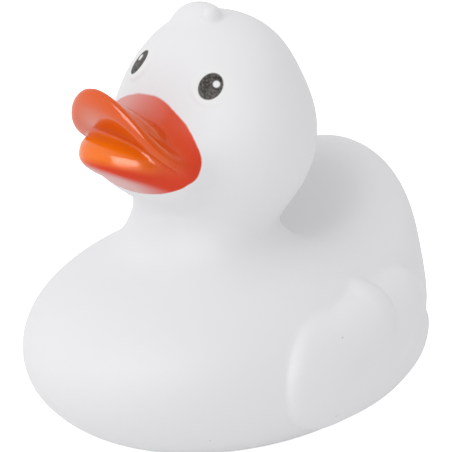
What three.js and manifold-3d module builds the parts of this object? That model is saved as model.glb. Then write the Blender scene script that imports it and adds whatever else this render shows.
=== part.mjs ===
// A squeezable bath duck, rotation moulded in one piece from soft white vinyl, with its bill
// and eyes painted on. The skin is a blend of rounded masses, hollow inside, with a flat base
// and one small vent that lets the air in and out.
// Millimetres and degrees, +Z up. The duck looks along -Y and its left side is at +X.

import * as THREE from "three";
import { mergeVertices } from "three/addons/utils/BufferGeometryUtils.js";
import Module from "manifold-3d";

// Shell
const WALL = 2.2;
const VENT_DIAMETER = 3;
const VENT_SIDES = 24;

// Body: an ellipsoid whose lowest part is cut off by the flat base
const BODY_WIDTH = 67;
const BODY_LENGTH = 80.5;
const BODY_HEIGHT = 44;
const BASE_CUT = 4.5;
const BASE_EDGE = 4;

// Breast, ahead of the middle of the body
const BREAST_WIDTH = 53;
const BREAST_LENGTH = 61.5;
const BREAST_HEIGHT = 34;
const BREAST_FORWARD = 19.5;
const BREAST_RISE = 3;
const BREAST_BLEND = 16.5;

// Tail: a broad upright lobe that leans back, measured from the rear end of the body
const TAIL_WIDTH = 41;
const TAIL_THICKNESS = 21.5;
const TAIL_HEIGHT = 38;
const TAIL_LEAN = 20.5;
const TAIL_INSET = 16;
const TAIL_RISE = 14;
const TAIL_BLEND = 22;

// Neck and head. The head stands clear of the top of the body, and the neck fills the gap
const NECK_WIDTH = 23;
const NECK_DEPTH = 20.5;
const NECK_HEIGHT = 20;
const NECK_FORWARD = 14;
const NECK_BLEND = 14;
const HEAD_WIDTH = 40.5;
const HEAD_DEPTH = 38;
const HEAD_HEIGHT = 43.5;
const HEAD_LEAN = -7;
const HEAD_FORWARD = 6.5;
const HEAD_GAP = 1.5;
const HEAD_BLEND = 15;

// Muzzle, from which the bill grows. Bill sizes run along a line pitched up from level
const MUZZLE_WIDTH = 27;
const MUZZLE_LENGTH = 14;
const MUZZLE_HEIGHT = 14;
const MUZZLE_INSET = 1;
const MUZZLE_BLEND = 11;
const BILL_DROP = 2.75;
const BILL_PITCH = 25;

// Upper bill: a thin plate with a round front, curling up towards its rim
const UPPER_WIDTH = 27;
const UPPER_LENGTH = 18.7;
const UPPER_ROOT = 3.2;
const UPPER_LIFT = 3;
const UPPER_THICKNESS = 2.6;
const UPPER_CURL_RADIUS = 19;
const UPPER_CURL_START = 3.7;
const UPPER_ARCH_RADIUS = 31;

// Lower bill: a thick rounded lip, with the chin under it
const LOWER_WIDTH = 21;
const LOWER_LENGTH = 24.6;
const LOWER_THICKNESS = 8.4;
const LOWER_FORWARD = 3.2;
const LOWER_DROP = 0.6;
const LOWER_PITCH = -6;
const CHIN_WIDTH = 16;
const CHIN_LENGTH = 16;
const CHIN_HEIGHT = 6;
const CHIN_BACK = 3;
const CHIN_DROP = 3.8;
const CHIN_BLEND = 6;

// Eyes: low round pads, placed by their bearing from the middle of the head
const EYE_DIAMETER = 8.4;
const EYE_RELIEF = 0.35;
const EYE_BEARING = 46;
const EYE_ELEVATION = 43.5;
const EYE_EDGE = 0.8;

// Tuft: a quiff in front of the crown, with a smaller lock on each side
const QUIFF_WIDTH = 10;
const QUIFF_HEIGHT = 8.4;
const QUIFF_FORWARD = 4.2;
const QUIFF_SINK = 1.6;
const QUIFF_BLEND = 4;
const LOCK_WIDTH = 4.4;
const LOCK_DEPTH = 6.4;
const LOCK_HEIGHT = 5.2;
const LOCK_SPREAD = 2.6;
const LOCK_FORWARD = 2.2;
const LOCK_SINK = 0.4;

// Wings: pads raised from the flanks, each a round front with three feathers behind it
const WING_DIAMETER = 23;
const WING_FORWARD = 6;
const WING_RISE = 1;
const WING_RELIEF = 2.1;
const WING_EDGE = 3;
const FEATHER_CREASE = 0.8;
const FEATHERS = [
  { reach: 18, angle: 33, width: 10.4 },
  { reach: 27, angle: 17, width: 11.6 },
  { reach: 28, angle: -9, width: 16 },
];

// Numbers of facets in each stretch of the skin, and across half, along and up the hollow
const FACETS_ACROSS = { bill: 5, cheek: 4, beside: 2 };
const FACETS_ALONG = { ahead: 2, bill: 8, head: 12, behind: 5 };
const FACETS_UP = { body: 11, neck: 5, bill: 9, crown: 8 };
const HOLLOW_FACETS = [5, 12, 12];

// Sectors and rings of the parts that are laid on the skin
const LOWER_SECTORS = 32;
const LOCK_SECTORS = 16;
const UPPER_SECTORS = 44;
const WING_SECTORS = 80;
const FLAT_RINGS = [0.45, 0.75];
const RIM_RINGS = 3;

// Places that follow from the sizes
const bodyMiddle = [0, 0, BODY_HEIGHT / 2 - BASE_CUT];
const bodyTop = BODY_HEIGHT - BASE_CUT;
const breastMiddle = [0, -BREAST_FORWARD, bodyMiddle[2] + BREAST_RISE];
const tailMiddle = [0, BODY_LENGTH / 2 - TAIL_INSET, bodyMiddle[2] + TAIL_RISE];
const neckMiddle = [0, -NECK_FORWARD, bodyTop];
const headMiddle = [0, -HEAD_FORWARD, bodyTop + HEAD_GAP + HEAD_HEIGHT / 2];
const headTop = headMiddle[2] + HEAD_HEIGHT / 2;
const billRoot = { y: headMiddle[1] - HEAD_DEPTH / 2 + MUZZLE_INSET, z: headMiddle[2] - BILL_DROP };
const wingMiddle = { y: -WING_FORWARD, z: bodyMiddle[2] + WING_RISE };
const radians = THREE.MathUtils.degToRad;

// Union of two distances with a fillet of the given reach between them
function join(a, b, reach) {
  const h = Math.max(reach - Math.abs(a - b), 0) / reach;
  return Math.min(a, b) - (h * h * h * reach) / 6;
}

// Overlap of two distances, with the edge where they meet rounded over the given reach
function meet(a, b, reach) {
  return -join(-a, -b, reach);
}

// Distance to an ellipsoid of full sizes, whose top leans towards +Y
function ellipsoid([middleX, middleY, middleZ], [width, depth, height], lean = 0) {
  const cos = Math.cos(radians(lean));
  const sin = Math.sin(radians(lean));
  const [rx, ry, rz] = [width / 2, depth / 2, height / 2];
  return (x, y, z) => {
    const dy = y - middleY;
    const dz = z - middleZ;
    const px = (x - middleX) / rx;
    const py = (cos * dy - sin * dz) / ry;
    const pz = (sin * dy + cos * dz) / rz;
    const level = Math.hypot(px, py, pz);
    const slope = Math.hypot(px / rx, py / ry, pz / rz);
    return slope > 0 ? (level * (level - 1)) / slope : -Math.min(rx, ry, rz);
  };
}

const body = ellipsoid(bodyMiddle, [BODY_WIDTH, BODY_LENGTH, BODY_HEIGHT]);
const breast = ellipsoid(breastMiddle, [BREAST_WIDTH, BREAST_LENGTH, BREAST_HEIGHT]);
const tail = ellipsoid(tailMiddle, [TAIL_WIDTH, TAIL_THICKNESS, TAIL_HEIGHT], TAIL_LEAN);
const neck = ellipsoid(neckMiddle, [NECK_WIDTH, NECK_DEPTH, NECK_HEIGHT]);
const head = ellipsoid(headMiddle, [HEAD_WIDTH, HEAD_DEPTH, HEAD_HEIGHT], HEAD_LEAN);

function trunk(x, y, z) {
  const front = join(body(x, y, z), breast(x, y, z), BREAST_BLEND);
  return join(front, tail(x, y, z), TAIL_BLEND);
}

// Bill coordinates of a point: how far it lies forward and up along the bill's own pitch
function alongBill(y, z) {
  const ahead = billRoot.y - y;
  const above = z - billRoot.z;
  const cos = Math.cos(radians(BILL_PITCH));
  const sin = Math.sin(radians(BILL_PITCH));
  return [cos * ahead + sin * above, cos * above - sin * ahead];
}

// Place of a point given in bill coordinates
function billPlace(x, forward, up) {
  const cos = Math.cos(radians(BILL_PITCH));
  const sin = Math.sin(radians(BILL_PITCH));
  return [x, billRoot.y - cos * forward + sin * up, billRoot.z + sin * forward + cos * up];
}

const muzzle = ellipsoid([0, 0, 0], [MUZZLE_WIDTH, MUZZLE_LENGTH, MUZZLE_HEIGHT]);
const chin = ellipsoid([0, -CHIN_BACK, -CHIN_DROP], [CHIN_WIDTH, CHIN_LENGTH, CHIN_HEIGHT]);

// Outline of one feather seen from the side, tapering from the round front of the wing to its tip
function feather(y, z, { reach, angle, width }) {
  const dirY = Math.cos(radians(angle));
  const dirZ = Math.sin(radians(angle));
  const dy = y - wingMiddle.y;
  const dz = z - wingMiddle.z;
  const share = THREE.MathUtils.clamp((dy * dirY + dz * dirZ) / reach, 0, 1);
  const radius = THREE.MathUtils.lerp(WING_DIAMETER, width, share) / 2;
  return Math.hypot(dy - dirY * reach * share, dz - dirZ * reach * share) - radius;
}

// Outline of the whole wing, with a soft crease where its feathers meet
function wingOutline(y, z) {
  const feathers = FEATHERS.map((shape) => feather(y, z, shape));
  return feathers.reduce((all, next) => join(all, next, FEATHER_CREASE));
}

// Middle of the left eye, where a line from the middle of the head meets the head
const eyeMiddle = (() => {
  const level = Math.cos(radians(EYE_ELEVATION));
  const toward = new THREE.Vector3(
    level * Math.sin(radians(EYE_BEARING)),
    -level * Math.cos(radians(EYE_BEARING)),
    Math.sin(radians(EYE_ELEVATION)),
  );
  const halves = new THREE.Vector3(HEAD_WIDTH / 2, HEAD_DEPTH / 2, HEAD_HEIGHT / 2);
  const onHead = toward.clone().multiplyScalar(1 / toward.clone().divide(halves).length());
  onHead.applyAxisAngle(new THREE.Vector3(1, 0, 0), radians(-HEAD_LEAN));
  return onHead.add(new THREE.Vector3(...headMiddle));
})();

function eyes(x, y, z, toHead) {
  const away = Math.hypot(Math.abs(x) - eyeMiddle.x, y - eyeMiddle.y, z - eyeMiddle.z);
  return meet(toHead - EYE_RELIEF, away - EYE_DIAMETER / 2, EYE_EDGE);
}

const quiff = ellipsoid(
  [0, headMiddle[1] - QUIFF_FORWARD, headTop - QUIFF_SINK],
  [QUIFF_WIDTH, QUIFF_WIDTH, QUIFF_HEIGHT],
);

// The plain masses that the hollow follows: everything but the bill, the wings and the tuft
function masses(x, y, z, toTrunk, toHead, forward, up) {
  const lower = join(toTrunk, neck(x, y, z), NECK_BLEND);
  return join(join(lower, toHead, HEAD_BLEND), muzzle(x, forward, up), MUZZLE_BLEND);
}

// Distance to the outer skin without its bill, locks and wings, below zero inside it
function skin(x, y, z) {
  const toHead = head(x, y, z);
  const [forward, up] = alongBill(y, z);
  let all = masses(x, y, z, trunk(x, y, z), toHead, forward, up);
  all = join(all, chin(x, forward, up), CHIN_BLEND);
  all = join(all, quiff(x, y, z), QUIFF_BLEND);
  all = join(all, eyes(x, y, z, toHead), EYE_RELIEF);
  return meet(all, -z, BASE_EDGE);
}

// Distance to the hollow, one wall inside the plain masses and above the floor
function hollow(x, y, z) {
  const [forward, up] = alongBill(y, z);
  const inside = masses(x, y, z, trunk(x, y, z), head(x, y, z), forward, up) + WALL;
  return meet(inside, WALL - z, BASE_EDGE);
}

// Room that holds the whole duck, with space to spare for the blends
const room = new THREE.Box3(
  new THREE.Vector3(-BODY_WIDTH / 2 - WING_RELIEF, -BODY_LENGTH / 2, 0),
  new THREE.Vector3(BODY_WIDTH / 2 + WING_RELIEF, BODY_LENGTH / 2, headTop + QUIFF_HEIGHT / 2),
);
room.expandByPoint(new THREE.Vector3(0, breastMiddle[1] - BREAST_LENGTH / 2, 0));
room.expandByPoint(new THREE.Vector3(TAIL_WIDTH / 2, tailMiddle[1] + TAIL_HEIGHT / 2, 0));
room.expandByPoint(new THREE.Vector3(-TAIL_WIDTH / 2, 0, tailMiddle[2] + TAIL_HEIGHT / 2));
room.expandByPoint(new THREE.Vector3(HEAD_WIDTH / 2, billRoot.y - UPPER_LENGTH, 0));
room.expandByPoint(new THREE.Vector3(-BREAST_WIDTH / 2, headMiddle[1] + HEAD_DEPTH / 2, 0));
room.expandByScalar(TAIL_BLEND / 6);

// Grid lines through the given stops, with so many equal cells between each stop and the next
function gridLines(stops, cells) {
  const lines = [stops[0]];
  cells.forEach((count, n) => {
    for (let c = 1; c <= count; c++) lines.push(THREE.MathUtils.lerp(stops[n], stops[n + 1], c / count));
  });
  return lines;
}

// One more line beyond each end
function padded(lines) {
  return [2 * lines[0] - lines[1], ...lines, 2 * lines.at(-1) - lines.at(-2)];
}

// The same lines on both sides of the duck's middle
function mirrored(lines) {
  return [...lines.slice(1).reverse().map((line) => -line), ...lines];
}

// Lines from a flat floor upward, moved so that the floor lies between two of them
function fromFloor(lines) {
  const [floor, next] = lines;
  return padded([(3 * floor - next) / 2, ...lines.slice(1)]);
}

// Grid round the outer skin. Its lines run evenly through the body and crowd together at the bill
function skinGrid() {
  const bill = new THREE.Box3(
    new THREE.Vector3(0, billRoot.y - UPPER_LENGTH - UPPER_THICKNESS, billRoot.z - MUZZLE_HEIGHT * 0.6),
    new THREE.Vector3(UPPER_WIDTH / 2, billRoot.y + MUZZLE_LENGTH / 2, billRoot.z + UPPER_LENGTH * 0.9),
  );
  const total = (facets) => Object.values(facets).reduce((sum, count) => sum + count);
  const across = padded(mirrored(gridLines([0, room.max.x], [total(FACETS_ACROSS)])));
  const along = padded(gridLines([room.min.y, room.max.y], [total(FACETS_ALONG)]));
  const acrossHead = padded(mirrored(gridLines(
    [0, bill.max.x, HEAD_WIDTH * 0.6, room.max.x],
    Object.values(FACETS_ACROSS),
  )));
  const alongHead = padded(gridLines(
    [room.min.y, bill.min.y, bill.max.y, headMiddle[1] + HEAD_DEPTH * 0.6, room.max.y],
    Object.values(FACETS_ALONG),
  ));
  const upward = fromFloor(gridLines(
    [0, bodyTop, bill.min.z, bill.max.z, room.max.z],
    Object.values(FACETS_UP),
  ));
  const point = (i, j, k) => {
    const share = THREE.MathUtils.smoothstep(upward[k], (bodyTop + bill.min.z) / 2, billRoot.z);
    return new THREE.Vector3(
      THREE.MathUtils.lerp(across[i], acrossHead[i], share),
      THREE.MathUtils.lerp(along[j], alongHead[j], share),
      upward[k],
    );
  };
  return { counts: [across.length, along.length, upward.length], point };
}

// Even grid round the hollow
function hollowGrid() {
  const [nx, ny, nz] = HOLLOW_FACETS;
  const across = padded(mirrored(gridLines([0, room.max.x], [nx])));
  const along = padded(gridLines([room.min.y, room.max.y], [ny]));
  const upward = fromFloor(gridLines([WALL, room.max.z], [nz]));
  const point = (i, j, k) => new THREE.Vector3(across[i], along[j], upward[k]);
  return { counts: [across.length, along.length, upward.length], point };
}

// Corner pairs of a grid cell that an edge joins
const CELL_EDGES = [];
for (const a of [0, 1, 2, 3, 4, 5, 6, 7]) for (const bit of [1, 2, 4]) {
  if (a & bit) continue;
  const bits = (corner) => [corner & 1, (corner >> 1) & 1, (corner >> 2) & 1];
  CELL_EDGES.push([bits(a), bits(a | bit)]);
}

// The surface where a distance is zero, as quads with one vertex in each grid cell that it crosses
function surface(distance, { counts: [nx, ny, nz], point }) {
  const at = (i, j, k) => (i * ny + j) * nz + k;
  const step = [ny * nz, nz, 1];
  const points = [];
  for (let i = 0; i < nx; i++) for (let j = 0; j < ny; j++) for (let k = 0; k < nz; k++) {
    points.push(point(i, j, k));
  }
  const value = Float64Array.from(points, ({ x, y, z }) => distance(x, y, z));
  fillNarrowGaps(value, [nx, ny, nz], at, step);

  const vertexOf = new Map();
  const positions = [];
  const crossing = new THREE.Vector3();
  for (let i = 0; i < nx - 1; i++) for (let j = 0; j < ny - 1; j++) for (let k = 0; k < nz - 1; k++) {
    const sum = new THREE.Vector3();
    let count = 0;
    for (const [a, b] of CELL_EDGES) {
      const from = at(i + a[0], j + a[1], k + a[2]);
      const to = at(i + b[0], j + b[1], k + b[2]);
      if (value[from] < 0 === value[to] < 0) continue;
      const share = value[from] / (value[from] - value[to]);
      sum.add(crossing.lerpVectors(points[from], points[to], share));
      count++;
    }
    if (count === 0) continue;
    vertexOf.set(at(i, j, k), positions.length);
    positions.push(sum.divideScalar(count));
  }

  const quads = [];
  for (let i = 1; i < nx - 1; i++) for (let j = 1; j < ny - 1; j++) for (let k = 1; k < nz - 1; k++) {
    for (let axis = 0; axis < 3; axis++) {
      const here = at(i, j, k);
      const inside = value[here] < 0;
      if (inside === value[here + step[axis]] < 0) continue;
      const [u, v] = [step[(axis + 1) % 3], step[(axis + 2) % 3]];
      const around = [here - u - v, here - v, here, here - u].map((cell) => vertexOf.get(cell));
      quads.push(inside ? around : around.reverse());
    }
  }
  return { positions, quads };
}

// Where solid meets only corner to corner, across a face or through a cell, the gap is filled,
// so that the surface never touches itself
function fillNarrowGaps(value, [nx, ny, nz], at, [sx, sy, sz]) {
  const filled = -Number.EPSILON;
  const diagonal = (a, b, c, d) => value[a] < 0 === value[d] < 0
    && value[b] < 0 === value[c] < 0 && value[a] < 0 !== value[b] < 0;
  const fill = (corners) => corners.forEach((c) => { value[c] = Math.min(value[c], filled); });
  let again = true;
  while (again) {
    again = false;
    for (let i = 0; i < nx - 1; i++) for (let j = 0; j < ny - 1; j++) for (let k = 0; k < nz - 1; k++) {
      const o = at(i, j, k);
      for (const [u, v] of [[sx, sy], [sy, sz], [sx, sz]]) {
        if (!diagonal(o, o + u, o + v, o + u + v)) continue;
        fill([o, o + u, o + v, o + u + v]);
        again = true;
      }
      const corners = [0, sx, sy, sz, sx + sy, sy + sz, sx + sz, sx + sy + sz].map((c) => o + c);
      const inside = corners.filter((c) => value[c] < 0);
      const odd = inside.length === 2 ? inside : corners.filter((c) => value[c] >= 0);
      if (odd.length !== 2 || odd[0] + odd[1] !== 2 * o + sx + sy + sz) continue;
      fill(corners);
      again = true;
    }
  }
}

// Spreads the vertices evenly along the surface and lays them exactly on it
function settle({ positions, quads }, distance) {
  const near = positions.map(() => new Set());
  quads.forEach((quad) => quad.forEach((vertex, n) => {
    near[vertex].add(quad[(n + 1) % 4]);
    near[vertex].add(quad[(n + 3) % 4]);
  }));
  const tiny = 1e-3;
  const slopeAt = ({ x, y, z }) => new THREE.Vector3(
    distance(x + tiny, y, z) - distance(x - tiny, y, z),
    distance(x, y + tiny, z) - distance(x, y - tiny, z),
    distance(x, y, z + tiny) - distance(x, y, z - tiny),
  ).divideScalar(2 * tiny);
  const lay = (point) => {
    const slope = slopeAt(point);
    const depth = distance(point.x, point.y, point.z) / slope.length();
    point.addScaledVector(slope.normalize(), -THREE.MathUtils.clamp(depth, -WALL / 2, WALL / 2));
  };
  const spread = (vertex) => {
    const toMean = new THREE.Vector3();
    near[vertex].forEach((other) => toMean.add(positions[other]));
    toMean.divideScalar(near[vertex].size).sub(positions[vertex]);
    return toMean.projectOnPlane(slopeAt(positions[vertex]).normalize());
  };
  const passes = 6;
  for (let pass = 0; pass < passes; pass++) {
    positions.forEach(lay);
    const moves = positions.map((_, vertex) => spread(vertex));
    positions.forEach((point, vertex) => point.addScaledVector(moves[vertex], 0.5));
  }
  const finishing = 5;
  for (let pass = 0; pass < finishing; pass++) positions.forEach(lay);
}

// Triangles of the quads, split along the diagonal that lies closer to the surface
function triangles({ positions, quads }, distance) {
  const middle = new THREE.Vector3();
  const off = (a, b) => {
    middle.addVectors(positions[a], positions[b]).divideScalar(2);
    return Math.abs(distance(middle.x, middle.y, middle.z));
  };
  return quads.flatMap(([a, b, c, d]) => (off(a, c) < off(b, d) ? [a, b, c, a, c, d] : [a, b, d, b, c, d]));
}

const wasm = await Module();
wasm.setup();

function solid(vertProperties, triVerts) {
  return new wasm.Manifold(new wasm.Mesh({ numProp: 3, vertProperties, triVerts }));
}

// Solid inside the surface of a distance
function moulded(distance, grid) {
  const mesh = surface(distance, grid);
  settle(mesh, distance);
  const corners = mesh.positions.flatMap((point) => point.toArray());
  return solid(new Float32Array(corners), new Uint32Array(triangles(mesh, distance)));
}

function solidOf(geometry) {
  geometry.deleteAttribute("normal");
  geometry.deleteAttribute("uv");
  const merged = mergeVertices(geometry);
  return solid(merged.attributes.position.array, new Uint32Array(merged.index.array));
}

// The vent runs through the floor under the middle of the body
function vent() {
  const round = new THREE.CylinderGeometry(VENT_DIAMETER / 2, VENT_DIAMETER / 2, 4 * WALL, VENT_SIDES);
  return solidOf(round.rotateX(Math.PI / 2));
}

// An ellipsoid of full sizes whose front is tilted up
function ball(sectors, middle, size, tilt = 0) {
  const round = new THREE.SphereGeometry(0.5, sectors, sectors / 2).scale(...size);
  return solidOf(round.rotateX(radians(-tilt)).translate(...middle));
}

function lowerBill() {
  const middle = billPlace(0, LOWER_FORWARD, -LOWER_DROP);
  const size = [LOWER_WIDTH, LOWER_LENGTH, LOWER_THICKNESS];
  return ball(LOWER_SECTORS, middle, size, BILL_PITCH + LOWER_PITCH);
}

function lock(lockSide) {
  const middle = [lockSide * LOCK_SPREAD, headMiddle[1] - LOCK_FORWARD, headTop - LOCK_SINK];
  return ball(LOCK_SECTORS, middle, [LOCK_WIDTH, LOCK_DEPTH, LOCK_HEIGHT]);
}

// A closed lens: rings of points round a middle, on two sides that meet at the rim. Its outline lies
// at share 1, and the rings crowd together over the last stretch, where the rim is rounded
function lens(sectors, rimShare, place) {
  const shares = FLAT_RINGS.map((ring) => ring * (1 - rimShare));
  for (let n = 0; n <= RIM_RINGS; n++) {
    shares.push(1 - rimShare * (1 - Math.sin((Math.PI / 2) * (n / RIM_RINGS))));
  }
  const rings = shares.length;
  const angles = Array.from({ length: sectors }, (_, n) => (2 * Math.PI * n) / sectors);
  const points = [place(0, 0, 1), place(0, 0, -1)];
  angles.forEach((angle) => points.push(place(1, angle, 1)));
  for (const side of [1, -1]) shares.slice(0, -1).forEach((share) => {
    angles.forEach((angle) => points.push(place(share, angle, side)));
  });

  const vertex = (side, ring, n) => {
    if (ring === 0) return side;
    const start = ring === rings ? 2 : 2 + sectors * (1 + side * (rings - 1) + ring - 1);
    return start + (n % sectors);
  };
  const faces = [];
  for (const side of [0, 1]) for (let ring = 0; ring < rings; ring++) for (let n = 0; n < sectors; n++) {
    const [a, b] = [vertex(side, ring, n), vertex(side, ring, n + 1)];
    const [c, d] = [vertex(side, ring + 1, n), vertex(side, ring + 1, n + 1)];
    const turned = side === 0 ? [[a, c, d], [a, d, b]] : [[a, d, c], [a, b, d]];
    faces.push(...(ring === 0 ? turned.slice(0, 1) : turned));
  }
  return solid(new Float32Array(points.flatMap((point) => point.toArray())), new Uint32Array(faces.flat()));
}

// Height of a rounded rim at a depth inside its outline
function rounded(depth, edge) {
  const short = 1 - THREE.MathUtils.clamp(depth / edge, 0, 1);
  return Math.sqrt(1 - short ** 2);
}

// The plate of the upper bill, laid out flat round its middle and then bent and pitched
function upperBill() {
  const half = UPPER_WIDTH / 2;
  const edge = UPPER_THICKNESS / 2;
  return lens(UPPER_SECTORS, edge / half, (share, angle, side) => {
    const x = half * share * Math.sin(angle);
    const forward = UPPER_ROOT + (UPPER_LENGTH - UPPER_ROOT) * share * Math.cos(angle);
    const curled = Math.max(forward - UPPER_CURL_START, 0);
    const middle = UPPER_LIFT + curled ** 2 / (2 * UPPER_CURL_RADIUS) - x ** 2 / (2 * UPPER_ARCH_RADIUS);
    const across = new THREE.Vector3(x / UPPER_ARCH_RADIUS, -curled / UPPER_CURL_RADIUS, 1).normalize();
    const point = new THREE.Vector3(x, forward, middle);
    point.addScaledVector(across, side * edge * rounded(half * (1 - share), edge));
    return new THREE.Vector3(...billPlace(...point.toArray()));
  });
}

// How far out the flank of the trunk lies, raised by the given height
function flank(y, z, height) {
  let [near, far] = [0, room.max.x];
  for (let n = 0; n < 40; n++) {
    const half = (near + far) / 2;
    if (trunk(half, y, z) < height) near = half;
    else far = half;
  }
  return near;
}

// A wing on the flank at +X or -X. Its rim is let into the wall of the trunk, and its sectors crowd
// together towards the tips of the feathers
function wing(flankSide) {
  const sunk = WALL / 2;
  return lens(WING_SECTORS, WING_EDGE / WING_DIAMETER, (share, turn, side) => {
    const angle = turn - 0.6 * Math.sin(turn);
    const dirY = Math.cos(angle);
    const dirZ = Math.sin(angle) * flankSide;
    let [near, far] = [0, room.max.y - room.min.y];
    for (let n = 0; n < 40; n++) {
      const half = (near + far) / 2;
      if (wingOutline(wingMiddle.y + dirY * half, wingMiddle.z + dirZ * half) < 0) near = half;
      else far = half;
    }
    const y = wingMiddle.y + dirY * near * share;
    const z = wingMiddle.z + dirZ * near * share;
    const rise = rounded(-wingOutline(y, z), WING_EDGE);
    const height = side > 0 ? (WING_RELIEF + sunk) * rise - sunk : -sunk * (1 + rise / 2);
    return new THREE.Vector3(flankSide * flank(y, z, height), y, z);
  });
}

function shellGeometry() {
  const laidOn = [upperBill(), lowerBill(), lock(1), lock(-1), wing(1), wing(-1)];
  const outside = laidOn.reduce((all, next) => all.add(next), moulded(skin, skinGrid()));
  const inside = moulded(hollow, hollowGrid());
  const { vertProperties, triVerts } = outside.subtract(inside).subtract(vent()).getMesh();
  const geometry = new THREE.BufferGeometry();
  geometry.setAttribute("position", new THREE.BufferAttribute(vertProperties, 3));
  geometry.setIndex(new THREE.BufferAttribute(triVerts, 1));
  geometry.computeVertexNormals();
  geometry.computeBoundingBox();
  return geometry;
}

// The origin lies on the base, under the middle of the whole duck
const whiteVinyl = new THREE.MeshStandardMaterial({ color: 0xe6e5ea, roughness: 0.5, metalness: 0 });
const duckBody = new THREE.Mesh(shellGeometry(), whiteVinyl);
duckBody.name = "duck_body";
duckBody.position.y = -duckBody.geometry.boundingBox.getCenter(new THREE.Vector3()).y;

const duck = new THREE.Group();
duck.add(duckBody);

export default duck;
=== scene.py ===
# A squeezable bath duck in soft white vinyl, with a painted bill and painted eyes, on a white sheet.
# Sizes are millimetres from the middle of the body's underside, and meshes are metres in the shared frame.
# +Z is up, the duck looks along -Y, and its left is at +X.

import math

import bmesh
import bpy
import numpy as np
from mathutils import Matrix, Vector


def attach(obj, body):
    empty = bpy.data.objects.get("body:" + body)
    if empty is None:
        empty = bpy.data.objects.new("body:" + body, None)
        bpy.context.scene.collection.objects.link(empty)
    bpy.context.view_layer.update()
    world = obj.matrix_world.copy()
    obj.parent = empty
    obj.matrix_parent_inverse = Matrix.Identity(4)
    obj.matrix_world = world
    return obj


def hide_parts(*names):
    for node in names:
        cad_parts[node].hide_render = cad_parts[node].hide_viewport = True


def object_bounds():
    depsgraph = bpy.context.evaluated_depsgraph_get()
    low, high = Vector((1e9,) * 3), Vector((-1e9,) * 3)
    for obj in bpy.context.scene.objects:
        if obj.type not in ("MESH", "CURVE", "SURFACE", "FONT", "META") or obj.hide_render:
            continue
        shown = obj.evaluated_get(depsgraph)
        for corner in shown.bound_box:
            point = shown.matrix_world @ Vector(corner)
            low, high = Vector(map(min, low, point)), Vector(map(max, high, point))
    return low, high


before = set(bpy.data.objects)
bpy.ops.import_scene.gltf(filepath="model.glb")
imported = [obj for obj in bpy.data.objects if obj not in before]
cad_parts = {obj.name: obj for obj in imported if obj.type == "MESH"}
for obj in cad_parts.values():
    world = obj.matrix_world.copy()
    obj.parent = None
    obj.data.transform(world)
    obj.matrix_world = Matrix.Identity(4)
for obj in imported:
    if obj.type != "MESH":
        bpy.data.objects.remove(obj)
cad_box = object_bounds()

# Body, breast and tail
# The duck is one hollow shell, rotation moulded in soft vinyl. A plump body runs into the breast in front
# and an upright tail behind, and the back dips before the tail. Each form is given as the distance from its
# surface, negative inside, and the soft fillets of the mould join one form to the next.
MM = 0.001
body = {"middle": (0, 0, 17.5), "size": (66.7, 80.4, 44), "power": 2.09}
breast = {"middle": (0, -19.5, 20.5), "size": (52.8, 61.2, 34), "power": 2.09}
tail = {"middle": (0, 24.25, 31.5), "size": (41, 21.5, 38), "lean": 20.5}
dip = {"middle": (0, 13, 52), "size": (38, 20, 34), "lean": 20.5}
breast_fillet, tail_fillet, dip_fillet = 16.5, 22, 8


def join(a, b, fillet):
    near = np.maximum(fillet - np.abs(a - b), 0) / fillet
    return np.minimum(a, b) - near**3 * fillet / 6


def meet(a, b, fillet):
    return -join(-a, -b, fillet)


def ellipsoid(p, middle, size, lean=0, power=2):
    cos, sin = math.cos(math.radians(lean)), math.sin(math.radians(lean))
    x, y, z = (p - middle).T
    half = np.array(size) / 2
    q = np.stack([x, cos * y - sin * z, sin * y + cos * z], 1) / half
    level = (np.hypot(q[:, 0], q[:, 1]) ** power + np.abs(q[:, 2]) ** power) ** (1 / power)
    not_zero = 1e-6
    return level * (level - 1) / np.maximum(np.linalg.norm(q / half, axis=1), not_zero)


def trunk(p):
    form = join(ellipsoid(p, **body), ellipsoid(p, **breast), breast_fillet)
    form = join(form, ellipsoid(p, **tail), tail_fillet)
    return meet(form, -ellipsoid(p, **dip), dip_fillet)


# Head and neck
# A round head with a narrower crown sits on a short neck over the breast. It is the same shell, so wide
# fillets run from the head through the neck into the body, and no seam shows.
cheeks = {"middle": (0, -7, 62.1), "size": (42, 37.2, 40.6), "lean": -7.5}
crown = {"middle": (0, -5.9, 73.7), "size": (29.8, 23.7, 21.5), "lean": -7.5}
neck = {"middle": (0, -14, 39.5), "size": (23, 20.5, 20)}
crown_fillet, neck_fillet, head_fillet = 6.7, 14, 15


def head(p):
    return join(ellipsoid(p, **cheeks), ellipsoid(p, **crown), crown_fillet)


# Bill
# A thin upper plate, bowed from side to side and curled up at its tip, lies over a fuller lower lip. Both
# grow out of a muzzle with a small chin, in one moulding with the head. Places on the bill run sideways,
# forward and up from its root, with forward pitched upwards.
bill_root, bill_pitch = np.array([-24.5, 60]), math.radians(25)
muzzle = {"middle": (0, 0, 0), "size": (27, 14, 14)}
chin = {"middle": (0, -3, -3.8), "size": (16, 15, 5.4)}
lower_lip = {"middle": (0, 3, -1.3), "size": (21, 23.8, 8.6), "lean": 6, "power": 2.7}
ridge = {"middle": (0, 7, 4.1), "size": (17, 21, 5.6), "lean": -18}
plate_forward, plate_up, plate_thickness = 3.2, 3, 2.6
plate_half_width, plate_half_length = 13.5, 16.1
curl_from, curl_radius, bow_radius = 3.7, 20.5, 35
muzzle_fillet, chin_fillet, lower_fillet, ridge_fillet, upper_fillet = 11, 6, 5, 3, 2.2


def along_bill(p):
    ahead, above = bill_root[0] - p[:, 1], p[:, 2] - bill_root[1]
    cos, sin = math.cos(bill_pitch), math.sin(bill_pitch)
    return np.stack([p[:, 0], cos * ahead + sin * above, cos * above - sin * ahead], 1)


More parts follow.
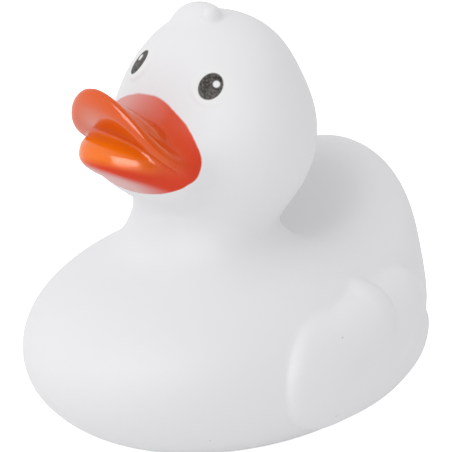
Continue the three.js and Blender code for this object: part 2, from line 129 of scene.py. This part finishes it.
def upper_plate(b):
    x, forward, up = b.T
    curled = np.maximum(forward - curl_from, 0)
    middle = plate_up + curled**2 / (2 * curl_radius) - x**2 / (2 * bow_radius)
    steepness = np.sqrt(1 + (curled / curl_radius) ** 2 + (x / bow_radius) ** 2)
    faces = np.abs(up - middle) / steepness - plate_thickness / 2
    level = np.hypot(x / plate_half_width, (forward - plate_forward) / plate_half_length)
    return meet(faces, (level - 1) * plate_half_width, plate_thickness)


def bill(b):
    to_upper = join(upper_plate(b), ellipsoid(b, **ridge), ridge_fillet)
    return ellipsoid(b, **muzzle), ellipsoid(b, **chin), ellipsoid(b, **lower_lip), to_upper


# Wings
# Each wing is a low pad on the flank, in one moulding with the body. Three pillowed feathers fan out
# backwards from its round front, the upper two parted by a sharp crease, and the upper tips stand prouder.
wing_middle, wing_width, wing_rise = np.array([-6, 18.5]), 23, 1.25
feathers = [
    {"reach": 15.7, "angle": 38, "width": 8.2, "tip_rise": 2.7},
    {"reach": 25, "angle": 19, "width": 10.6, "tip_rise": 2.1},
    {"reach": 28, "angle": -9, "width": 16, "tip_rise": 0.8},
]
pillow_rise, feather_rim, feather_fillet = 0.9, 0.7, 3
crease_fillet, wing_fillet = 0.6, 0.8


def feather(p, to_trunk, reach, angle, width, tip_rise):
    away = p[:, 1:] - wing_middle
    along = np.array([math.cos(math.radians(angle)), math.sin(math.radians(angle))])
    share = np.clip(away @ along / reach, 0, 1)
    radius = (wing_width + (width - wing_width) * share) / 2
    across = np.linalg.norm(away - along * (reach * share)[:, None], axis=1)
    pillow = pillow_rise * (1 - np.minimum(across / radius, 1) ** 2)
    face = to_trunk - wing_rise - (tip_rise - wing_rise) * share - pillow
    return meet(face, across - radius - feather_rim, feather_fillet)


def wing(p, to_trunk):
    upper, middle, lower = (feather(p, to_trunk, **sizes) for sizes in feathers)
    return join(np.minimum(upper, middle), lower, crease_fillet)


# Tuft, eye pads and base
# A quiff curls over the crown to the duck's right, with a small lock on top of it, and each eye has a low
# round pad that stands prouder at its front. The underside is flat, with a rounded rim and one vent in its
# middle. All of them are part of the same moulding.
curl = {"middle": (-2.9, -8.8, 81.7), "size": (13.6, 10.6, 7.5), "lean": -50}
lock = {"middle": (1, -9, 84.2), "size": (3.5, 4.6, 5.6), "lean": -20}
lock_fillet, tuft_fillet = 0.3, 1.3
tuft_top, tuft_top_fillet = 87.05, 1.2
left_eye, right_eye = np.array([10.6, -18.5, 75.5]), np.array([-8.5, -19.4, 75.9])
pad_diameter, pad_rise, pad_slope = 8.4, 0.15, 0.08
pad_rim_fillet, pad_fillet = 1.2, 0.4
base_sink, base_fillet = 0.19, 9
vent_radius, vent_depth, vent_fillet = 1.5, 10, 0.5

# Moulded skin
# The outside of the shell as it leaves the mould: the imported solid's outer wall, drawn out smooth onto the
# forms above and kept within the solid's box. The inner wall stays with the solid, so the vent ends in a
# closed well.
body_origin = np.array([0, 4.76, 0])
weld, vent_play = 0.001, 0.1
mesh_size, mesh_rounds, smoothings = 0.72, 2, 3
fine_bill_from, fine_bill_above, fine_tuft_above = -1, 50, 82.5


def skin(p):
    to_trunk, to_head = trunk(p), head(p)
    to_muzzle, to_chin, to_lower, to_upper = bill(along_bill(p))
    form = join(to_trunk, ellipsoid(p, **neck), neck_fillet)
    form = join(form, to_head, head_fillet)
    form = join(form, to_muzzle, muzzle_fillet)
    form = join(form, to_chin, chin_fillet)
    form = join(form, to_lower, lower_fillet)
    form = join(form, to_upper, upper_fillet)
    form = join(form, wing(p, to_trunk), wing_fillet)
    tuft = join(ellipsoid(p, **curl), ellipsoid(p, **lock), lock_fillet)
    form = join(form, tuft, tuft_fillet)
    form = meet(form, p[:, 2] - tuft_top, tuft_top_fillet)
    to_eye = np.minimum(*(np.linalg.norm(p - eye, axis=1) for eye in (left_eye, right_eye)))
    raised = pad_rise - pad_slope * (p[:, 1] - left_eye[1])
    pads = meet(to_head - raised, to_eye - pad_diameter / 2, pad_rim_fillet)
    form = join(form, pads, pad_fillet)
    form = meet(form, -p[:, 2] - base_sink, base_fillet)
    well = np.maximum(np.hypot(p[:, 0], p[:, 1]) - vent_radius, p[:, 2] - vent_depth)
    return meet(form, -well, vent_fillet)


def slope(p):
    step = 0.001
    return np.stack([skin(p + way) - skin(p - way) for way in step * np.eye(3)], 1) / (2 * step)


def lay_on_skin(p):
    rounds, longest_move = 4, 1
    for _ in range(rounds):
        down = slope(p)
        length = np.linalg.norm(down, axis=1, keepdims=True)
        p = p - down / length * np.clip(skin(p)[:, None] / length, -longest_move, longest_move)
    return p


def skin_points(mesh):
    flat = np.empty(3 * len(mesh.vertices))
    mesh.vertices.foreach_get("co", flat)
    return flat.reshape(-1, 3) / MM - body_origin


def move_points(mesh, p):
    mesh.vertices.foreach_set("co", ((p + body_origin) * MM).ravel())
    mesh.update()


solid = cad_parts["duck_body"]
duck = bpy.data.objects.new("duck_skin", solid.data.copy())
bpy.context.scene.collection.objects.link(duck)

# The vent's wall ties the outer wall to the inner one, so it goes first. What then hangs together with the
# topmost face is the outer wall.
bm = bmesh.new()
bm.from_mesh(duck.data)
bmesh.ops.remove_doubles(bm, verts=bm.verts, dist=weld * MM)
vent_axis = Vector(body_origin[:2] * MM)
vent_reach = (vent_radius + vent_play) * MM
vent_wall = [
    face for face in bm.faces if max((vert.co.xy - vent_axis).length for vert in face.verts) < vent_reach
]
bmesh.ops.delete(bm, geom=vent_wall, context="FACES")
outside = set()
to_visit = [max(bm.faces, key=lambda face: face.calc_center_median().z)]
while to_visit:
    face = to_visit.pop()
    if face not in outside:
        outside.add(face)
        to_visit += [beside for edge in face.edges for beside in edge.link_faces]
bmesh.ops.delete(bm, geom=[face for face in bm.faces if face not in outside], context="FACES")
cap = bmesh.ops.holes_fill(bm, edges=bm.edges, sides=0)["faces"]
pocket = bmesh.ops.extrude_face_region(bm, geom=cap)["geom"]
deep = [vert for vert in pocket if isinstance(vert, bmesh.types.BMVert)]
bmesh.ops.translate(bm, verts=deep, vec=(0, 0, vent_depth * MM))
bmesh.ops.delete(bm, geom=[face for face in cap if face.is_valid], context="FACES")
bm.to_mesh(duck.data)
bm.free()

# An even mesh is laid on the forms, eased and laid on again.
all_axes = {"use_axis_x": True, "use_axis_y": True, "use_axis_z": True}
for _ in range(mesh_rounds):
    even = duck.modifiers.new("even_mesh", "REMESH")
    even.mode = "VOXEL"
    even.voxel_size = mesh_size * MM
    evaluated = duck.evaluated_get(bpy.context.evaluated_depsgraph_get())
    duck.data = bpy.data.meshes.new_from_object(evaluated)
    duck.modifiers.clear()
    move_points(duck.data, lay_on_skin(skin_points(duck.data)))
    bm = bmesh.new()
    bm.from_mesh(duck.data)
    for _ in range(smoothings):
        bmesh.ops.smooth_vert(bm, verts=bm.verts, factor=0.5, **all_axes)
    bm.to_mesh(duck.data)
    bm.free()
    move_points(duck.data, lay_on_skin(skin_points(duck.data)))

# The bill and the tuft have thinner edges, so their mesh is twice as fine.
points = skin_points(duck.data)
on_the_bill = (along_bill(points)[:, 1] > fine_bill_from) & (points[:, 2] > fine_bill_above)
fine = on_the_bill | (points[:, 2] > fine_tuft_above)
bm = bmesh.new()
bm.from_mesh(duck.data)
fine_edges = [edge for edge in bm.edges if all(fine[vert.index] for vert in edge.verts)]
bmesh.ops.subdivide_edges(bm, edges=fine_edges, cuts=1, use_grid_fill=True)
bm.to_mesh(duck.data)
bm.free()
lowest, highest = (np.array(corner) / MM - body_origin for corner in cad_box)
points = np.clip(lay_on_skin(skin_points(duck.data)), lowest, highest)
move_points(duck.data, points)
duck.data.shade_smooth()

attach(duck, "root")
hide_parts("duck_body")

# White vinyl
# Soft PVC, pigmented white and matt from a blasted mould, so it shows a faint even grain and no clear
# reflections. Light goes a little way in and comes out again, which softens its shadows, and three specks
# of dust cling to it. The real grain is finer than a pixel, so it is drawn as wide as it needs to show.
vinyl_white, dust_grey = "#ECECEE", "#C8C8CA"
grain_width, grain_depth = 0.5, 0.05
dust = [(33.3, -5.3, 26.7), (33.5, -6.9, 10.7), (22.9, -30.6, 10)]
dust_edge, dust_core = 0.26, 0.06


def colour(text):
    channels = [int(text[n : n + 2], 16) / 255 for n in (1, 3, 5)]
    return [c / 12.92 if c <= 0.04045 else ((c + 0.055) / 1.055) ** 2.4 for c in channels] + [1]


def add(tree, kind, inputs=(), **settings):
    node = tree.nodes.new("ShaderNode" + kind)
    for name, value in settings.items():
        setattr(node, name, value)
    for socket, value in dict(inputs).items():
        if isinstance(value, bpy.types.NodeSocket):
            tree.links.new(value, node.inputs[socket])
        else:
            node.inputs[socket].default_value = value
    return node


# A Mix node has sockets for each kind of value. These are the numbers of the ones for colours.
under, over, mixed = 6, 7, 2

material = bpy.data.materials.new("painted_white_vinyl")
material.use_nodes = True
tree = material.node_tree
tree.nodes.clear()
duck.data.materials.clear()
duck.data.materials.append(material)

place = add(tree, "TexCoord").outputs["Object"]
grain = add(tree, "TexNoise", {"Vector": place, "Scale": 1 / (grain_width * MM), "Detail": 2})
vinyl_bump = add(tree, "Bump", {
    "Height": grain.outputs["Fac"],
    "Strength": 0.08,
    "Distance": grain_depth * MM,
})
white = colour(vinyl_white)
for speck in lay_on_skin(np.array(dust)):
    to_speck = add(tree, "VectorMath", {0: place, 1: (speck + body_origin) * MM}, operation="DISTANCE")
    on_speck = add(tree, "MapRange", {
        "Value": to_speck.outputs["Value"],
        "From Min": dust_edge * MM,
        "From Max": dust_core * MM,
    })
    dusty = {"Factor": on_speck.outputs[0], under: white, over: colour(dust_grey)}
    white = add(tree, "Mix", dusty, data_type="RGBA").outputs[mixed]
vinyl = add(tree, "BsdfPrincipled", {
    "Base Color": white,
    "Roughness": 0.5,
    "IOR": 1.53,
    "Specular IOR Level": 0.12,
    "Subsurface Weight": 0.15,
    "Subsurface Radius": (1, 0.9, 0.85),
    "Subsurface Scale": 1.2 * MM,
    "Normal": vinyl_bump.outputs["Normal"],
})

# Bill paint
# Orange lacquer, sprayed through a mask over the bill and the muzzle, so its edge is soft and wanders a
# little. On the plate and the lip the coat is full and dries glossy, with a slight orange peel. The lip is
# painted a lighter, yellower orange: painted light that brightens it where the plate shades it. On the
# muzzle the coat is redder and more matt. The pale pink on its top and under the chin is a painted
# reflection of the white tent and the floor.
mask_back, mask_low = -23.72, 55.5
mask_rise, mask_rises_from = 0.57, -31.5
mask_back_weight, mask_low_weight, mask_corner = 1.3, 0.87, 8
far_bend, far_bend_from, far_bend_most = 0.02, -5, 1
edge_wander, edge_wander_width = 0.6, 4
edge_bare, edge_full = 0.45, 0.15
rising, falling = (0, 1), (1, 0)
lip_above, lip_tilt = (-4.4, -2.8), 0.15
lip_forward, lip_crease = (6, 12), (0, 0.6)
full_forward = (2, 9)
# Painted reflection: a pale pink laid on the muzzle's top and under the chin, standing in for the white tent
# and floor mirrored there.
top_reflection_share, top_reflection_up, top_reflection_forward = 0.45, (5, 8), (5, 7)
top_reflection_left, top_reflection_right = (-6, 6), (-14, -10)
chin_reflection_share, chin_reflection_up, chin_reflection_side = 0.6, (-5.2, -4.3), (5, 12)
# The lip's lighter, yellower orange is painted light, brightening the lip where the plate shades it.
muzzle_red, plate_orange, lip_painted_light_orange = "#DC4224", "#E2570C", "#F87400"
painted_reflection_pink, bounced_grey, bounced_share = "#E4D6D8", "#B0A8A4", 0.6
peel_width, peel_depth = 1.2, 0.04


# The mask opens in front of one plane and above another that rises backwards, with a rounded corner, and it
# reaches a little further back on the duck's right.
def paint_edge(p):
    x, y, z = p.T
    far_side = np.clip(far_bend * np.maximum(far_bend_from - x, 0) ** 2, 0, far_bend_most)
    behind = y - mask_back - far_side
    below = mask_low + mask_rise * (y - mask_rises_from) - z
    return meet(mask_back_weight * behind, mask_low_weight * below, mask_corner)


on_bill = along_bill(points)
x, forward, up = on_bill.T
_, to_chin, to_lower, to_upper = bill(on_bill)
above_lip = np.interp(up - lip_tilt * x, lip_above, rising)
orange = np.interp(forward, full_forward, rising) * above_lip
# Where the lip's lighter orange, painted light, is laid on.
lip_painted_light_share = np.interp(np.minimum(to_upper, to_chin) - to_lower, lip_crease, rising)
lip_painted_light_share = lip_painted_light_share * np.interp(forward, lip_forward, rising) * above_lip
# Where the painted reflection of the tent and the floor lies, on the muzzle's top and under the chin.
painted_reflection_on_top = np.interp(up, top_reflection_up, rising) * np.interp(forward, top_reflection_forward, falling)
painted_reflection_on_top = painted_reflection_on_top * np.interp(x, top_reflection_left, falling) * np.interp(x, top_reflection_right, rising)
painted_reflection_on_chin = np.interp(up, chin_reflection_up, falling) * np.interp(np.abs(x), chin_reflection_side, falling)
paint_maps = {
    "bill_edge": paint_edge(points),
    "bill_orange": orange,
    "bill_lip_painted_light": lip_painted_light_share,
    "bill_painted_reflection": np.maximum(top_reflection_share * painted_reflection_on_top, chin_reflection_share * painted_reflection_on_chin),
}
painted_by = {}
for name, values in paint_maps.items():
    paint_map = duck.data.attributes.new(name, "FLOAT", "POINT")
    paint_map.data.foreach_set("value", values.astype(np.float32))
    painted_by[name] = add(tree, "Attribute", attribute_name=name).outputs["Fac"]

wander = add(tree, "TexNoise", {"Vector": place, "Scale": 1 / (edge_wander_width * MM), "Detail": 2})
wandered = add(
    tree,
    "Math",
    {0: wander.outputs["Fac"], 1: edge_wander, 2: painted_by["bill_edge"]},
    operation="MULTIPLY_ADD",
)
sprayed = add(tree, "MapRange", {
    "Value": wandered.outputs[0],
    "From Min": edge_bare,
    "From Max": edge_full,
})
# The last coat isn't seen: it keeps the white neck from taking on too much of the bill's colour.
to_the_neck = add(tree, "LightPath").outputs["Is Diffuse Ray"]
bounced = add(tree, "Math", {0: to_the_neck, 1: bounced_share}, operation="MULTIPLY")
coats = [
    (painted_by["bill_orange"], plate_orange),
    # The lip's lighter orange is painted light.
    (painted_by["bill_lip_painted_light"], lip_painted_light_orange),
    # The pale pink coat is painted reflection of the tent and the floor.
    (painted_by["bill_painted_reflection"], painted_reflection_pink),
    (bounced.outputs[0], bounced_grey),
]
paint = colour(muzzle_red)
for share, coat in coats:
    coated = {"Factor": share, under: paint, over: colour(coat)}
    paint = add(tree, "Mix", coated, data_type="RGBA").outputs[mixed]
gloss = painted_by["bill_orange"]
peel = add(tree, "TexNoise", {"Vector": place, "Scale": 1 / (peel_width * MM), "Detail": 3})
peel_bump = add(tree, "Bump", {
    "Height": peel.outputs["Fac"],
    "Strength": 0.3,
    "Distance": peel_depth * MM,
})
lacquer = add(tree, "BsdfPrincipled", {
    "Base Color": paint,
    "Roughness": add(tree, "MapRange", {"Value": gloss, "To Min": 0.4, "To Max": 0.18}).outputs[0],
    "Specular IOR Level": add(tree, "MapRange", {"Value": gloss, "To Min": 0.15, "To Max": 0.5}).outputs[0],
    "IOR": 1.5,
    "Normal": peel_bump.outputs["Normal"],
})
finish = add(tree, "MixShader", {0: sprayed.outputs[0], 1: vinyl.outputs[0], 2: lacquer.outputs[0]})

# Eyes
# Each eye is printed on its raised pad in three inks: a matt white disc, a leaning black oval with a
# speckled grain, and a small white dot near the top of the oval. The duck's right eye is printed more
# upright and a little narrower.
eyes = [
    {"middle": left_eye, "side": 1, "lean": 27, "narrowed": 1},
    {"middle": right_eye, "side": -1, "lean": 8, "narrowed": 1.12},
]
print_reach = 6
ink_grain_width = 0.5
disc_white, dot_white = "#EDEDEE", "#E8E8E8"
ink_tones = [(0.4, "#2B2928"), (0.75, "#6E6863")]

on_eye = np.empty_like(points)
for eye in eyes:
    side, lean = eye["side"], math.radians(eye["lean"])
    outward = slope(eye["middle"][None])[0]
    outward = outward / np.linalg.norm(outward)
    backward = side * np.cross((0, 0, 1), outward)
    backward = backward / np.linalg.norm(backward)
    upward = side * np.cross(outward, backward)
    here = points[:, 0] * side >= 0
    u, v, w = ((points[here] - eye["middle"]) @ np.stack([backward, upward, outward], 1)).T
    u = u * eye["narrowed"]
    cos, sin = math.cos(lean), math.sin(lean)
    on_eye[here] = np.stack([u * cos - v * sin, u * sin + v * cos, w], 1)
eye_plane = duck.data.attributes.new("eye_plane", "FLOAT_VECTOR", "POINT")
eye_plane.data.foreach_set("vector", on_eye.astype(np.float32).ravel())
on_plane = add(tree, "Attribute", attribute_name="eye_plane").outputs["Vector"]


def oval(middle, size, soft):
    away = add(tree, "VectorMath", {0: on_plane, 1: (*middle, 0)}, operation="SUBTRACT").outputs[0]
    per_radius = (2 / size[0], 2 / size[1], 1 / print_reach)
    scaled = add(tree, "VectorMath", {0: away, 1: per_radius}, operation="MULTIPLY").outputs[0]
    level = add(tree, "VectorMath", {0: scaled}, operation="LENGTH").outputs["Value"]
    return add(tree, "MapRange", {"Value": level, "From Min": 1 + soft, "From Max": 1 - soft}).outputs[0]


disc_ink = add(tree, "BsdfPrincipled", {
    "Base Color": colour(disc_white),
    "Roughness": 0.5,
    "Specular IOR Level": 0.12,
})
ink_grain = add(tree, "TexNoise", {"Vector": place, "Scale": 1 / (ink_grain_width * MM), "Detail": 3})
ink_shade = add(tree, "ValToRGB", {"Fac": ink_grain.outputs["Fac"]})
for stop, (position, tone) in zip(ink_shade.color_ramp.elements, ink_tones):
    stop.position = position
    stop.color = colour(tone)
black_ink = add(tree, "BsdfPrincipled", {
    "Base Color": ink_shade.outputs["Color"],
    "Roughness": 0.4,
    "Specular IOR Level": 0.2,
})
dot_ink = add(tree, "BsdfPrincipled", {"Base Color": colour(dot_white), "Roughness": 0.4})
prints = [
    (oval(middle=(0, 0), size=(8.2, 8.2), soft=0.1), disc_ink),
    (oval(middle=(0, 0), size=(4.55, 5.55), soft=0.05), black_ink),
    (oval(middle=(0.75, 0.9), size=(1.35, 1.35), soft=0.2), dot_ink),
]
for share, ink in prints:
    finish = add(tree, "MixShader", {0: share, 1: finish.outputs[0], 2: ink.outputs[0]})
add(tree, "OutputMaterial", {"Surface": finish.outputs[0]})

# Floor
# A wide sheet of matt white paper under the duck. It glows enough to come out white in the camera, and a
# little in the gloss of the paint, and it still keeps the duck's soft shadow.
floor_reach, floor_below = 3000, 0.05
floor_white, full_white = "#F2F2F2", "#FFFFFF"
glow_always, glow_mirrored, glow_seen = 0.06, 0.12, 0.74

floor_mesh = bpy.data.meshes.new("floor")
bm = bmesh.new()
floor_place = Matrix.Translation((0, 0, -floor_below * MM))
bmesh.ops.create_grid(bm, x_segments=1, y_segments=1, size=floor_reach * MM, matrix=floor_place)
bm.to_mesh(floor_mesh)
bm.free()
floor = bpy.data.objects.new("floor", floor_mesh)
bpy.context.scene.collection.objects.link(floor)

sheet = bpy.data.materials.new("matt_white_paper")
sheet.use_nodes = True
sheet_tree = sheet.node_tree
sheet_tree.nodes.clear()
floor_mesh.materials.append(sheet)
rays = add(sheet_tree, "LightPath").outputs
mirrored = add(
    sheet_tree,
    "Math",
    {0: rays["Is Glossy Ray"], 1: rays["Is Transmission Ray"]},
    operation="MAXIMUM",
)
strength = glow_always
for ray, share in ((mirrored.outputs[0], glow_mirrored), (rays["Is Camera Ray"], glow_seen)):
    lifted = add(sheet_tree, "Math", {0: ray, 1: share, 2: strength}, operation="MULTIPLY_ADD")
    strength = lifted.outputs[0]
paper = add(sheet_tree, "BsdfDiffuse", {"Color": colour(floor_white)})
glow = add(sheet_tree, "Emission", {"Color": colour(full_white), "Strength": strength})
glowing = add(sheet_tree, "AddShader", {0: paper.outputs[0], 1: glow.outputs[0]})
add(sheet_tree, "OutputMaterial", {"Surface": glowing.outputs[0]})

# Camera
# It looks down at the duck from its front left, from far enough away that little is foreshortened. The
# image is square, and a small shift sets the target on its pixel.
image_size, sensor_width = 452, 36
turn, rise = math.radians(46), math.radians(22.5)
camera_distance, nearest_seen = 520, 10
focal_pixels = 2600
target, target_pixel = Vector((0, 1.335, 38)) * MM, (228.963, 233.309)

to_camera = Vector((math.sin(turn) * math.cos(rise), -math.cos(turn) * math.cos(rise), math.sin(rise)))
camera = bpy.data.objects.new("camera", bpy.data.cameras.new("camera"))
bpy.context.scene.collection.objects.link(camera)
camera.location = target + to_camera * (camera_distance * MM)
camera.rotation_euler = to_camera.to_track_quat("Z", "Y").to_euler()
camera.data.sensor_width = sensor_width
camera.data.lens = focal_pixels / image_size * sensor_width
camera.data.shift_x = -(target_pixel[0] - image_size / 2) / image_size
camera.data.shift_y = (target_pixel[1] - image_size / 2) / image_size
camera.data.clip_start = nearest_seen * MM
bpy.context.scene.camera = camera

# Light
# A white tent lights the duck from all round. The gloss of the paint mirrors its white cloth, and the
# dimmer room through its open side. Two softboxes stand where the camera's right, up and back point them: a
# key at the upper left that only shades the duck, and one close to the camera that only gives highlights.
tent_light, cloth_seen, room_seen = 0.745, 1, 0.1
open_side, open_full = (0.95, -0.25, 0.1), 0.85
softbox_distance = 800
softboxes = [
    {"name": "key", "aim": (-0.57, 0.45, 0.69), "size": (600, 600), "watts": 1.72, "shades": True},
    {"name": "glint", "aim": (-0.13, 0.04, 0.99), "size": (780, 580), "watts": 9.5, "shades": False},
]

tent = bpy.data.worlds.new("white_tent")
tent.use_nodes = True
bpy.context.scene.world = tent
tent_tree = tent.node_tree
tent_tree.nodes.clear()
rays = add(tent_tree, "LightPath").outputs
seen = rays["Is Camera Ray"]
for other in ("Is Glossy Ray", "Is Transmission Ray"):
    seen = add(tent_tree, "Math", {0: seen, 1: rays[other]}, operation="MAXIMUM").outputs[0]
toward = add(tent_tree, "TexCoord").outputs["Generated"]
to_room = add(tent_tree, "VectorMath", {0: toward, 1: open_side}, operation="DOT_PRODUCT")
wall = add(tent_tree, "MapRange", {
    "Value": to_room.outputs["Value"],
    "From Min": 0,
    "From Max": open_full,
    "To Min": cloth_seen,
    "To Max": room_seen,
})
light = add(tent_tree, "Background", {"Color": colour(full_white), "Strength": tent_light})
view = add(tent_tree, "Background", {"Color": colour(full_white), "Strength": wall.outputs[0]})
surround = add(tent_tree, "MixShader", {0: seen, 1: light.outputs[0], 2: view.outputs[0]})
add(tent_tree, "OutputWorld", {"Surface": surround.outputs[0]})

to_right = Vector((math.cos(turn), math.sin(turn), 0))
to_top = to_camera.cross(to_right)
for box in softboxes:
    lamp = bpy.data.objects.new(box["name"], bpy.data.lights.new(box["name"], "AREA"))
    bpy.context.scene.collection.objects.link(lamp)
    lamp.data.shape = "RECTANGLE"
    lamp.data.size, lamp.data.size_y = (side * MM for side in box["size"])
    lamp.data.energy = box["watts"]
    right, top, towards = box["aim"]
    aim = (to_right * right + to_top * top + to_camera * towards).normalized()
    lamp.location = target + aim * (softbox_distance * MM)
    lamp.rotation_euler = aim.to_track_quat("Z", "Y").to_euler()
    lamp.visible_diffuse = box["shades"]
    lamp.visible_glossy = not box["shades"]

bpy.context.scene.view_settings.view_transform = "Standard"
